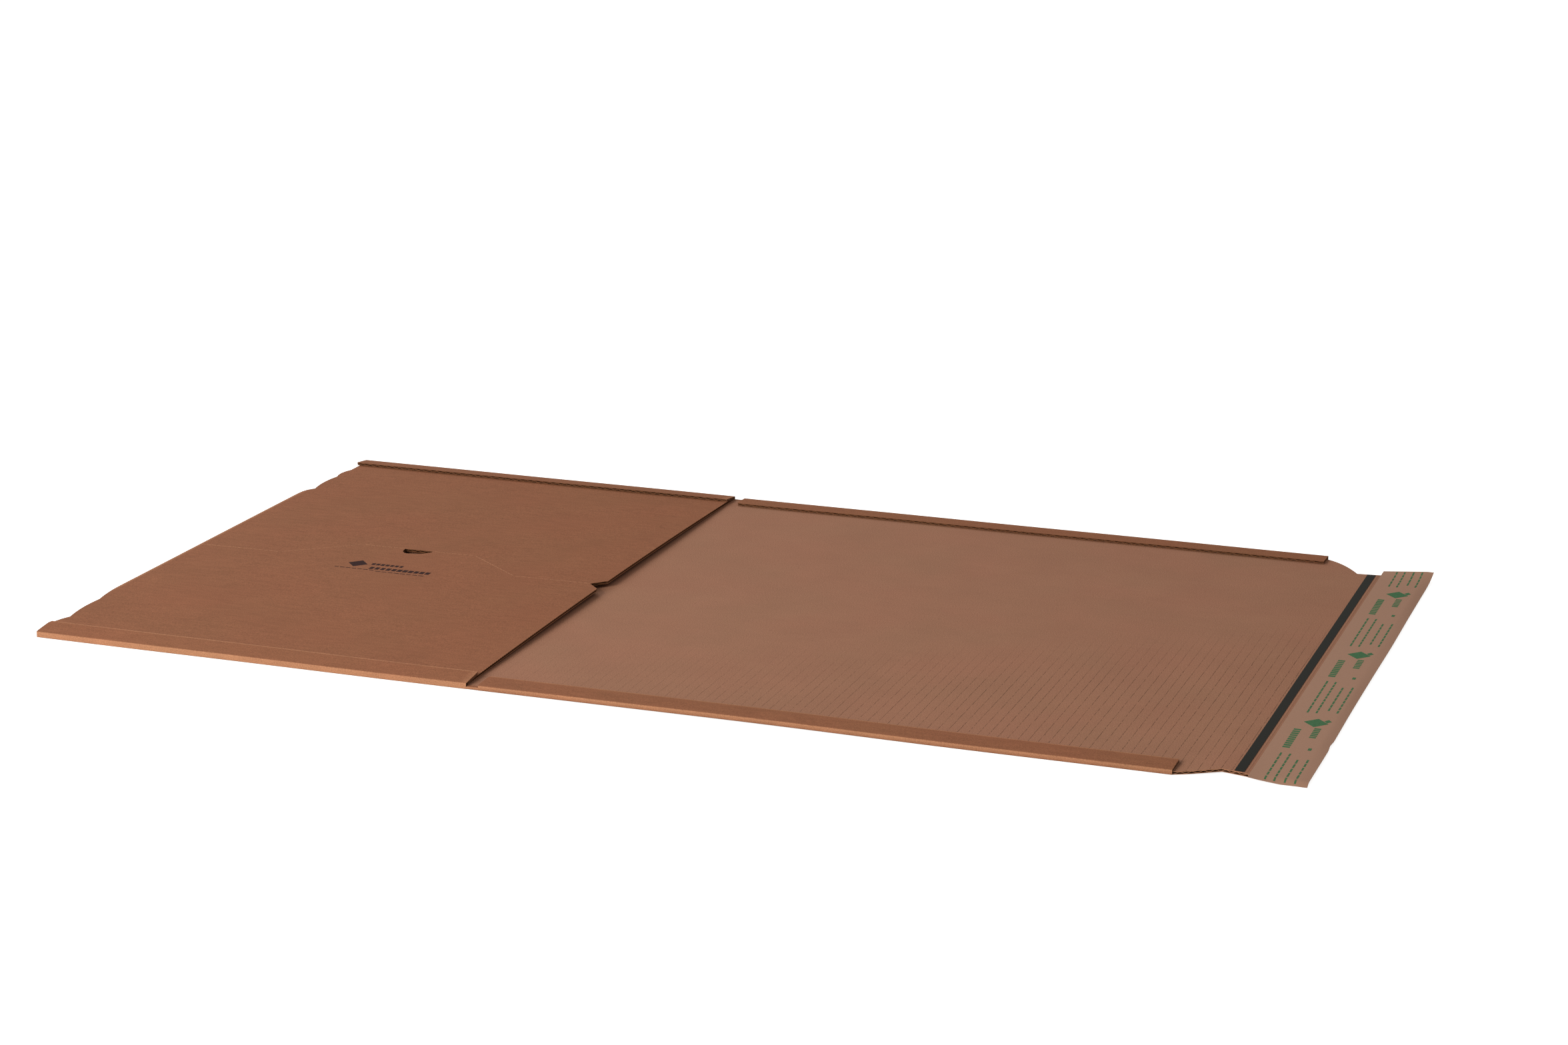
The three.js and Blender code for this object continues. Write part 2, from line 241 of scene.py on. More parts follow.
def fluting_tree(material):
    """Geometry Nodes: a flat stretch of fluted medium, its waves across the given length."""
    tree = bpy.data.node_groups.new("fluted_medium", "GeometryNodeTree")
    face = tree.interface
    for name, kind in (("Start", "NodeSocketFloat"), ("Length", "NodeSocketFloat"),
                       ("Depth", "NodeSocketFloat"), ("Pitch", "NodeSocketFloat"),
                       ("Wave Height", "NodeSocketFloat"), ("Paper", "NodeSocketFloat"),
                       ("Columns", "NodeSocketInt"), ("Rows", "NodeSocketInt")):
        face.new_socket(name, in_out="INPUT", socket_type=kind)
    face.new_socket("Geometry", in_out="OUTPUT", socket_type="NodeSocketGeometry")
    given = add_node(tree, "NodeGroupInput").outputs
    flat = add_node(tree, "GeometryNodeMeshGrid", Size_X=given["Length"], Size_Y=given["Depth"],
                    Vertices_X=given["Columns"], Vertices_Y=given["Rows"])
    at = add_node(tree, "ShaderNodeSeparateXYZ",
                  Vector=add_node(tree, "GeometryNodeInputPosition").outputs[0])
    middle = add_node(tree, "ShaderNodeMath", {"operation": "MULTIPLY_ADD"},
                      i0=given["Length"], i1=0.5, i2=given["Start"])
    along = add_node(tree, "ShaderNodeMath", {"operation": "ADD"},
                     i0=at.outputs["X"], i1=middle.outputs[0])
    turns = add_node(tree, "ShaderNodeMath", {"operation": "DIVIDE"},
                     i0=along.outputs[0], i1=given["Pitch"])
    angle = add_node(tree, "ShaderNodeMath", {"operation": "MULTIPLY"},
                     i0=turns.outputs[0], i1=2 * math.pi)
    wave = add_node(tree, "ShaderNodeMath", {"operation": "COSINE"}, i0=angle.outputs[0])
    unit = add_node(tree, "ShaderNodeMath", {"operation": "MULTIPLY_ADD"},
                    i0=wave.outputs[0], i1=-0.5, i2=0.5)
    rise = add_node(tree, "ShaderNodeMath", {"operation": "MULTIPLY"},
                    i0=unit.outputs[0], i1=given["Wave Height"])
    lift = add_node(tree, "ShaderNodeCombineXYZ", Z=rise.outputs[0])
    waved = add_node(tree, "GeometryNodeSetPosition", Geometry=flat.outputs["Mesh"],
                     Offset=lift.outputs[0])
    upward = add_node(tree, "ShaderNodeCombineXYZ", Z=given["Paper"])
    top = add_node(tree, "GeometryNodeExtrudeMesh", Mesh=waved.outputs[0],
                   Offset=upward.outputs[0], Offset_Scale=1.0, Individual=False)
    bottom = add_node(tree, "GeometryNodeFlipFaces", Mesh=waved.outputs[0])
    both = add_node(tree, "GeometryNodeJoinGeometry")
    tree.links.new(top.outputs["Mesh"], both.inputs[0])
    tree.links.new(bottom.outputs["Mesh"], both.inputs[0])
    closed = add_node(tree, "GeometryNodeMergeByDistance", Geometry=both.outputs[0], Distance=1e-4)
    real = add_node(tree, "GeometryNodeRealizeInstances", Geometry=closed.outputs[0])
    dressed = add_node(tree, "GeometryNodeSetMaterial", Geometry=real.outputs[0], Material=material)
    add_node(tree, "NodeGroupOutput", Geometry=dressed.outputs[0])
    return tree


def grown(name, mesh, tree, **values):
    """The plain mesh that a Geometry Nodes tree makes of an object with these input values."""
    host = bpy.data.objects.new(name, mesh)
    bpy.context.collection.objects.link(host)
    modifier = host.modifiers.new("grow", "NODES")
    modifier.node_group = tree
    for item in tree.interface.items_tree:
        if item.in_out == "INPUT" and item.name.replace(" ", "_") in values:
            modifier[item.identifier] = values[item.name.replace(" ", "_")]
    graph = bpy.context.evaluated_depsgraph_get()
    made = bpy.data.meshes.new_from_object(host.evaluated_get(graph))
    host.modifiers.remove(modifier)
    bpy.data.objects.remove(host)
    return made


# By default the medium's faces take the hollow look, painted shade
def add_fluting(mesh, tree, place, x0, x1, y0, y1, rows, looks=(hollow_shade_side, cut_and_shade_side),
                paper=medium):
    """Fluted medium between the liners of a stretch of board. The waves keep step over the board.
    The looks are those of its faces and of its cut ends. The tree's stretch is one unit deep."""
    room = ply - 2 * liner
    columns = round((x1 - x0) / flute_pitch * samples_per_flute) + 1
    made = grown("medium", bpy.data.meshes.new("medium"), tree, Start=x0, Length=x1 - x0,
                 Depth=1.0, Pitch=flute_pitch, Wave_Height=room - paper, Paper=paper,
                 Columns=columns, Rows=rows)
    at = np.empty(len(made.vertices) * 3)
    made.vertices.foreach_get("co", at)
    at = at.reshape(-1, 3)
    x = at[:, 0] + (x0 + x1) / 2
    y = y0 + (at[:, 1] + 0.5) * (y1 - y0)
    where = place(x, y, (at[:, 2] + liner) / ply)
    verts = [mesh.verts.new(p) for p in where]
    for polygon in made.polygons:
        face = mesh.faces.new([verts[v] for v in polygon.vertices])
        on_end = all(abs(at[v][1]) > 0.499 for v in polygon.vertices)
        face.material_index = looks[1] if on_end else looks[0]
    bpy.data.meshes.remove(made)


# Left end of the pocket: relief scallops in the sheet beside the straight fold. Their cusps are
# measured in from the side folds, their depths back from the straight fold, and each arc between
# two cusps stands out by its rise.
near_cusps = (38.2, 81.7)
near_depths = (6.4, 3.6)
near_rises = (4.5, 1.7)
near_ease_power = 2
far_cusps = (33.7, 56.7, 96.0)
far_depths = (6.0, 5.0, 5.7)
far_rises = (2.3, 2.0)
far_ease_power = 6
nose_ease = 34.0
scallop_fade = 40.0
close_rows = 5.5
wide_rows = 10.0


def left_edge(y):
    """How far the pocket's left end stands back from the fold at this y."""
    near = [-half_width, *(inset - half_width for inset in near_cusps)]
    far = [half_width - inset for inset in far_cusps]
    scallops = ((near[0], near[1], near_depths[0], near_depths[0], near_rises[0]),
                (near[1], near[2], near_depths[0], near_depths[1], near_rises[1]),
                (far[1], far[0], far_depths[1], far_depths[0], far_rises[0]),
                (far[2], far[1], far_depths[2], far_depths[1], far_rises[1]))
    back = np.zeros_like(y)
    for a, b, depth_a, depth_b, rise in scallops:
        t = np.clip((y - a) / (b - a), 0, 1)
        arc = depth_a + (depth_b - depth_a) * t - 4 * rise * t * (1 - t)
        back = np.where((y >= a) & (y < b), arc, back)
    for cusp, depth, way, power in ((near[2], near_depths[1], 1, near_ease_power),
                                    (far[2], far_depths[2], -1, far_ease_power)):
        t = np.clip(1 - way * (y - cusp) / nose_ease, 0, 1)
        back = np.where((way * (y - cusp) >= 0) & (t > 0), depth * t ** power, back)
    return np.where(y >= far[0], far_depths[0], back)


def cross_rows(*places):
    """Rows across the sheet through these places, closer beside the scallops than between them."""
    cusps = [inset - half_width for inset in near_cusps] + [half_width - inset for inset in far_cusps]
    inner, outer = cusps[1] + nose_ease, min(cusps[2:]) - nose_ease
    stops = sorted([*cusps, inner, outer, *places])
    rows = [stops[-1]]
    for a, b in zip(stops[:-1], stops[1:]):
        gap = wide_rows if inner <= (a + b) / 2 <= outer else close_rows
        rows += list(np.linspace(a, b, max(round((b - a) / gap), 1), endpoint=False))
    return np.sort(rows)


# Shoulders: where each cut leaves the side fold, and how far it stands out from a straight one
near_shoulder_start = 1.0
near_shoulder_bulge = 0.8
far_shoulder_start = 5.0
far_shoulder_bulge = 4.4


def near_edge(x):
    """The base's near edge: within the fold, then the cut shoulder and the closing end."""
    run = np.clip((x - shoulder) / (closing - shoulder), 0, 1)
    start = near_shoulder_start - half_width
    cut = start + run * (near_closing + flare - start) - 4 * near_shoulder_bulge * run * (1 - run)
    end = near_closing + flare * np.clip((flare_end - x) / (flare_end - closing), 0, 1)
    return np.where(x < shoulder, skin_start - half_width, np.where(x < closing, cut, end))


def far_edge(x):
    """The base's far edge, made as the near one."""
    run = np.clip((x - shoulder) / (closing - shoulder), 0, 1)
    start = half_width - far_shoulder_start
    cut = start + run * (far_closing - flare - start) + 4 * far_shoulder_bulge * run * (1 - run)
    end = far_closing - flare * np.clip((flare_end - x) / (flare_end - closing), 0, 1)
    return np.where(x < shoulder, half_width - skin_start, np.where(x < closing, cut, end))


def set_back(x, y):
    """This x, moved with the scallops where it is near the left end."""
    return x + left_edge(y) * np.clip(1 - (x - nose) / scallop_fade, 0, 1)


def base_place(x, s, h):
    """The base lies flat: s runs from its near edge at 0 to its far edge at 1."""
    y = near_edge(x) + s * (far_edge(x) - near_edge(x))
    return np.stack([set_back(x, y), y, h * ply], axis=-1)


# Pocket panel: it lies down at the fold and under the strips, bulges between them and bows up at
# the mouth. The toothed edge is a band of its own.
pocket_gap = 0.2
strip_width = 19.0
panel_tuck = 11.0
crushed_edge = 1.0
mouth_bow = 1.8
bulge = 0.7
bulge_run = 60.0
bow_start = 12.0
panel_floor = ply + pocket_gap
panel_top = panel_floor + ply
strip_inner = half_width - strip_width
panel_half = strip_inner + panel_tuck
tooth_pitch = 3.1
tooth_depth = 0.35
tooth_band = 2.0


def panel_place(x, y, h):
    """A point of the panel, at height h of its ply."""
    run = np.clip((x - nose - bow_start) / (mouth - nose - bow_start), 0, 1)
    risen = np.clip((x - nose) / bulge_run, 0, 1)
    along = mouth_bow * run ** 2 + bulge * risen * (2 - risen)
    bow = along * (1 - np.clip(np.abs(y) / strip_inner, 0, 1) ** 2)
    tucked = np.clip((np.abs(y) - strip_inner) / panel_tuck, 0, 1)
    thick = ply - (ply - crushed_edge) * tucked
    return np.stack([set_back(x, y), y, panel_floor + bow + h * thick], axis=-1)


def toothed_place(x, y, h):
    """The panel's last millimetres, whose edge the die's toothed blade leaves wavy."""
    tooth = tooth_depth * np.abs((y / tooth_pitch) % 1 * 2 - 1)
    reach = np.clip((x - mouth + tooth_band) / tooth_band, 0, 1)
    return panel_place(x, y, h) - np.stack([tooth * reach, 0 * x, 0 * x], axis=-1)


# Side strips: folded over the panel and the wrap flap, with u the distance in from the fold. A
# strip's left end is rounded over its first millimetres, most of all at its free corner.
fold_radius = 0.7
strip_lift = 0.15
pocket_fold_height = 4.2
wrap_fold_height = 3.4
strip_rows = (3, 8, 13)
edge_row_step = 0.5
corner_round = 4.0
corner_cut = 1.3
fold_round = 2.0
fold_round_share = 0.4
end_round_run = 5.0
end_column = 0.8
strip_step = 6.0
medium_setback = 0.15
pocket_strip = (-321.5, mouth, pocket_fold_height, panel_top + strip_lift)
wrap_strip = (spine, shoulder, wrap_fold_height, ply + strip_lift)


def strip_lower(u, seat):
    """Height of a strip's inner face, which meets what it lies on at its free edge."""
    return ply - strip_lift / 3 + (u - skin_start) / (strip_width - skin_start) * (seat - ply)


def strip_upper(u, fold_height, seat):
    """Height of a strip's outer face."""
    share = (u - fold_radius) / (strip_width - fold_radius)
    return fold_height + share * (seat + ply - fold_height)


def add_strip(mesh, tree, strip, side):
    """One folded side strip: its skin round the fold, its inner liner and its medium."""
    x0, x1, fold_height, seat = strip
    # The near strips' cut edges take the pale torn look as painted light, the far strips' the dark cut
    # look as painted shade
    lit_or_shaded_edge_look = torn_and_lit_side if side < 0 else cut_and_shade_side
    xs = np.array([x0, x0 + end_column,
                   *np.linspace(x0 + end_round_run, x1, round((x1 - x0) / strip_step))])
    turn = np.linspace(0, math.pi / 2, 5)
    flat = np.array([*strip_rows, *(strip_width - edge_row_step * np.array([6, 3, 1, 0]))])

    def rounded(x, u):
        corner = np.clip((u - strip_width + corner_round) / corner_round, 0, 1) ** 2
        fold = np.clip(1 - u / fold_round, 0, 1) ** 2
        ending = np.clip(1 - (x - x0) / end_round_run, 0, 1)
        return x + corner_cut * (corner + fold_round_share * fold) * ending

    path = {}
    for inset in (0, liner):
        round_off = fold_radius - inset
        u = [skin_start, *(fold_radius - round_off * np.sin(turn)),
             *(fold_radius - round_off * np.cos(turn)), *flat]
        z = [inset, *(fold_radius - round_off * np.cos(turn)),
             *(fold_height - fold_radius + round_off * np.sin(turn)),
             *(strip_upper(flat, fold_height, seat) - inset)]
        x, u = grid(xs, u)
        path[inset] = np.stack([rounded(x, u), side * (half_width - u), np.broadcast_to(z, x.shape)],
                               axis=-1)
    add_sheet(mesh, path[liner], path[0], (inner_side, outer_side, lit_or_shaded_edge_look))

    def place(x, u, h):
        low = strip_lower(u, seat)
        z = low + h * (strip_upper(u, fold_height, seat) - low)
        return np.stack([rounded(x, u), side * (half_width - u), z], axis=-1)

    x, u = grid(xs, [skin_start, 10, strip_width - corner_round, strip_width - 1, strip_width])
    share = liner / ply
    add_sheet(mesh, place(x, u, 0 * x), place(x, u, 0 * x + share), (inner_side, inner_side, cut_and_shade_side))
    add_fluting(mesh, tree, place, x0, x1, skin_start, strip_width - medium_setback, 2,
                (inner_side, cut_and_shade_side), crushed_medium)


# Skins of the outer liner that no strip covers: round the crushed edges of the bare spine, and
# round the pocket's straight fold
spine_lap = 0.5
skin_lap = 0.1
nose_radius = 1.5
nose_lap = 6
nose_rows = 60
nose_end_share = 0.45
nose_clear = 0.01
half_turn = np.linspace(-math.pi / 2, math.pi / 2, 9)


def add_spine_edge(mesh, side):
    """The outer liner round the crushed edge of the bare board between the side strips."""
    path = {}
    for inset in (0, liner):
        rim = ply / 2 - (ply / 2 - inset) * np.cos(half_turn)
        u = [skin_start + skin_lap, *rim, skin_start + skin_lap]
        z = [inset, *(ply / 2 + (ply / 2 - inset) * np.sin(half_turn)), ply - inset]
        x, u = grid([-spine - spine_lap, 0, spine + spine_lap], u)
        path[inset] = np.stack([x, side * (half_width - u), np.broadcast_to(z, x.shape)], axis=-1)
    add_sheet(mesh, path[liner], path[0], (hollow_shade_side, outer_side, torn_and_lit_side))


def add_nose(mesh):
    """The outer liner round the pocket's straight fold."""
    reach = nose_ease * nose_end_share
    ys = np.linspace(near_cusps[1] - half_width + reach, half_width - far_cusps[2] - reach, nose_rows)
    sheets = []
    for inset, lift in ((liner, 0), (0, nose_clear)):
        along = [nose_lap, *(nose_radius - (nose_radius - inset) * np.cos(half_turn)), nose_lap]
        z = [inset, *(panel_top / 2 + (panel_top / 2 - inset) * np.sin(half_turn)),
             panel_top - inset]
        y, u = grid(ys, along)
        x = nose + left_edge(y) + u
        sheets.append(np.stack([x, y, np.broadcast_to(z, x.shape) + lift], axis=-1))
    add_sheet(mesh, sheets[0], sheets[1], (hollow_shade_side, outer_side, cut_and_shade_side))


# Tear line: slits that a toothed rule cuts through the panel, with pale fibres raised beside them.
# It steps aside in a jog that has the thumb hole, and ends in a notch in the mouth.
tear_offset = 19.5
tear_start_run = 66.0
tear_slope_run = 48.0
tear_jog_run = 90.0
slit_length = 3.2
slit_nick = 1.6
slit_width = 0.15
burr_length = 4.1
burr_gap = 0.15
burr_width = 0.45
burr_height = 0.10
burr_shortest = 0.7
burr_seed = 3
thumb_hole_in_jog = 45.5
thumb_hole_width = 22.5
thumb_hole_depth = 11.5
thumb_hole_lean = (1.75, 0.75)
thumb_hole_steps = 13
notch_width = 20.5
notch_depth = 9.5
blade_height = 6.6
blade_rise = 3.5
punch_low = panel_floor - 0.1
punch_high = panel_floor + 7
punch_past = 1.0
jog_start = nose + tear_start_run + tear_slope_run
jog_end = jog_start + tear_jog_run
thumb_hole_x = jog_start + thumb_hole_in_jog
tear_path = [(nose, -tear_offset), (nose + tear_start_run, -tear_offset),
             (jog_start, tear_offset), (thumb_hole_x - thumb_hole_width / 2, tear_offset),
             (thumb_hole_x + thumb_hole_width / 2, tear_offset), (jog_end, tear_offset),
             (jog_end + tear_slope_run, -tear_offset), (mouth - notch_depth, -tear_offset)]


def bars_tree(material):
    """Geometry Nodes: narrow bars set end to end along a path, as a perforating rule has its
    blades. Their lengths vary between a shortest share and the whole."""
    tree = bpy.data.node_groups.new("bars_along_path", "GeometryNodeTree")
    face = tree.interface
    face.new_socket("Geometry", in_out="INPUT", socket_type="NodeSocketGeometry")
    for name in ("Bar Length", "Bar Gap", "Bar Width", "Bar Height", "Shortest"):
        face.new_socket(name, in_out="INPUT", socket_type="NodeSocketFloat")
    for name in ("Seed", "Rings"):
        face.new_socket(name, in_out="INPUT", socket_type="NodeSocketInt")
    face.new_socket("Geometry", in_out="OUTPUT", socket_type="NodeSocketGeometry")
    given = add_node(tree, "NodeGroupInput").outputs
    path = add_node(tree, "GeometryNodeMeshToCurve", Mesh=given["Geometry"])
    pitch = add_node(tree, "ShaderNodeMath", {"operation": "ADD"},
                     i0=given["Bar Length"], i1=given["Bar Gap"])
    points = add_node(tree, "GeometryNodeCurveToPoints", {"mode": "LENGTH"},
                      Curve=path.outputs[0], Length=pitch.outputs[0])
    size = add_node(tree, "ShaderNodeCombineXYZ", X=given["Bar Width"],
                    Y=given["Bar Height"], Z=given["Bar Length"])
    bar = add_node(tree, "GeometryNodeMeshCube", Size=size.outputs[0], Vertices_Z=given["Rings"])
    share = add_node(tree, "FunctionNodeRandomValue", {"data_type": "FLOAT"}, i2=given["Shortest"],
                     i3=1.0, Seed=given["Seed"])
    scale = add_node(tree, "ShaderNodeCombineXYZ", X=1.0, Y=1.0, Z=share.outputs[1])
    set_out = add_node(tree, "GeometryNodeInstanceOnPoints", Points=points.outputs["Points"],
                       Instance=bar.outputs["Mesh"], Rotation=points.outputs["Rotation"],
                       Scale=scale.outputs[0])
    real = add_node(tree, "GeometryNodeRealizeInstances", Geometry=set_out.outputs[0])
    dressed = add_node(tree, "GeometryNodeSetMaterial", Geometry=real.outputs[0], Material=material)
    add_node(tree, "NodeGroupOutput", Geometry=dressed.outputs[0])
    return tree


def bars_between(tree, start, end, **values):
    """The bars that the tree sets along the straight path from start to end."""
    line = bpy.data.meshes.new("path")
    line.from_pydata([start, end], [(0, 1)], [])
    return grown("bars", line, tree, **values)


def tear_legs():
    """Ends of each straight run of the tear line, beside the thumb hole."""
    for a, b in zip(tear_path[:-1], tear_path[1:]):
        if abs(b[0] - a[0] - thumb_hole_width) > 1e-6:
            ease = 2 * slit_nick / math.hypot(b[0] - a[0], b[1] - a[1])
            yield [(a[0] + (b[0] - a[0]) * t, a[1] + (b[1] - a[1]) * t) for t in (ease, 1 - ease)]


def add_burrs(mesh, tree):
    """The pale raised fibres that a perforating rule leaves along the tear line."""
    for a, b in tear_legs():
        made = bars_between(tree, (*a, 0), (*b, 0), Bar_Length=burr_length, Bar_Gap=burr_gap,
                            Bar_Width=burr_width, Bar_Height=burr_height, Shortest=burr_shortest,
                            Seed=burr_seed, Rings=2)
        at = np.empty(len(made.vertices) * 3)
        made.vertices.foreach_get("co", at)
        x, y, z = at.reshape(-1, 3).T
        where = panel_place(x, y + burr_width / 2, 0 * x + 1) + np.stack([0 * x, 0 * x, z], axis=-1)
        verts = [mesh.verts.new(p) for p in where]
        for polygon in made.polygons:
            face = mesh.faces.new([verts[v] for v in polygon.vertices])
            face.material_index = torn_and_lit_side
        bpy.data.meshes.remove(made)


def prism(mesh, outline, z0, z1):
    """Adds a closed upright block with this outline, for a die's cutting blade."""
    low = [mesh.verts.new((x, y, z0)) for x, y in outline]
    high = [mesh.verts.new((x, y, z1)) for x, y in outline]
    mesh.faces.new(low[::-1])
    mesh.faces.new(high)
    for k, a in enumerate(low):
        b = (k + 1) % len(low)
        mesh.faces.new([a, low[b], high[b], high[k]])


def die_blades(tree):
    """All the blades that cut the pocket panel, as one mesh."""
    blades = bmesh.new()
    z = panel_floor + blade_rise
    for a, b in tear_legs():
        made = bars_between(tree, (*a, z), (*b, z), Bar_Length=slit_length, Bar_Gap=slit_nick,
                            Bar_Width=slit_width, Bar_Height=blade_height, Shortest=1.0, Seed=0,
                            Rings=2)
        blades.from_mesh(made)
        bpy.data.meshes.remove(made)
    steps = np.linspace(0, 1, thumb_hole_steps)
    x0, x1 = thumb_hole_x - thumb_hole_width / 2, thumb_hole_x + thumb_hole_width / 2
    hole_x = x0 + (x1 - x0) * (3 * steps ** 2 - 2 * steps ** 3)
    lean = thumb_hole_lean[0] * (1 - steps) + thumb_hole_lean[1] * steps
    dip = 3 * steps * (1 - steps) * lean * thumb_hole_depth
    prism(blades, list(zip(hole_x, tear_offset - dip)), punch_low, punch_high)
    half = notch_width / 2 * (1 + punch_past / notch_depth)
    prism(blades, [(mouth - notch_depth, -tear_offset), (mouth + punch_past, -tear_offset - half),
                   (mouth + punch_past, -tear_offset + half)], punch_low, punch_high)
    bmesh.ops.recalc_face_normals(blades, faces=blades.faces)
    for face in blades.faces:
        face.material_index = cut_and_shade_side
    mesh = bpy.data.meshes.new("blades")
    blades.to_mesh(mesh)
    blades.free()
    return mesh


# Warp of the handled board: the wrap flap's near side lifts a little in its middle and at the
# closing end, and the whole sheet has a faint ripple.
side_lift = 0.7
side_lift_x = 165
side_lift_run = 110
side_lift_y = (-60, -250)
end_lift = 1.1
end_lift_run = 17
end_lift_y = (-110, -230)
ripple_height = 0.07
ripple_run_x = 31
ripple_run_y = 47
ripple_start_x = 0.6
ripple_start_y = 0.3


def warp(points):
    """Points of the flat board, moved up by its warp."""
    x, y = points[..., 0], points[..., 1]
    near = np.clip((side_lift_y[0] - y) / (side_lift_y[0] - side_lift_y[1]), 0, 1) ** 2
    lift = side_lift * near * np.exp(-((x - side_lift_x) / side_lift_run) ** 2)
    corner = np.clip((end_lift_y[0] - y) / (end_lift_y[0] - end_lift_y[1]), 0, 1) ** 2
    lift += end_lift * corner * np.exp(-((x - closing) / end_lift_run) ** 2)
    waves = np.sin(x / ripple_run_x + ripple_start_x) * np.sin(y / ripple_run_y + ripple_start_y)
    ripple = ripple_height * (1 + waves)
    moved = points.copy()
    moved[..., 2] += lift + ripple
    return moved


# Kraft paper: the tones of its faces, and how far its fibres, streaks, clouds and flecks shade it
outer_tone = (0.260, 0.105, 0.056)
inner_tone = (0.320, 0.155, 0.098)
# Cut edges: a dark tone, partly painted shade
cut_and_painted_shade_tone = (0.145, 0.063, 0.031)
# Hollows inside the board: a dark tone that is painted shade
hollow_painted_shade_tone = (0.135, 0.058, 0.027)
# A pale tone for rubbed and torn paper, used also as painted light on the fold faces and the near
# edges
worn_and_lit_tone = (0.395, 0.186, 0.104)
warm_tint = (1.015, 0.993, 0.997)
cool_tint = (0.985, 1.008, 1.0)
fibre_contrast = 0.24
streak_contrast = 0.06
cloud_contrast = 0.03
dark_fleck = 0.72
pale_fleck = 1.25
dark_fleck_edge = (0.70, 0.78)
pale_fleck_edge = (0.20, 0.28)
fibre_relief = 0.00012
kraft_roughness = 0.88
kraft_shine = 0.03

# The noises that these follow: the scale, the detail, the roughness, and the share of the scale
# that is left along x, so that a low share draws the pattern out across the flutes
fibre_noise = (1.5, 1.5, 0.6, 0.75)
fleck_noise = (0.6, 2.0, 0.6, 0.6)
streak_noise = (0.35, 2.0, 0.6, 0.2)
cloud_noise = (0.02, 3.0, 0.6, 1.0)
hue_noise = (0.012, 2.0, 0.5, 1.0)
wear_and_light_noise = (0.5, 3.0, 0.7, 2.0)
stray_noise = (0.09, 2.0, 0.7, 1.0)
break_noise = (0.35, 3.0, 0.8, 0.4)

# Creases over the flutes, darkened with painted shade in their grooves: their share of the tone, their
# stray and half width in pitches, and the curve and the stretches over which they fade. The score
# lines are pressed across the closing end, with painted shade along them.
crease_shade = 0.55
crease_stray = 0.025
crease_half_width = (0.018, 0.045)
crease_depth = 2.5
crease_curve = 0.00085
crease_y = 125.0
crease_fade_y = (-30.0, 90.0)
crease_fade_x = (10.0, 330.0)
crease_least = 0.3
score_lines = (503.4, 505.0)
score_shade = 0.80
score_half_width = (0.15, 0.5)


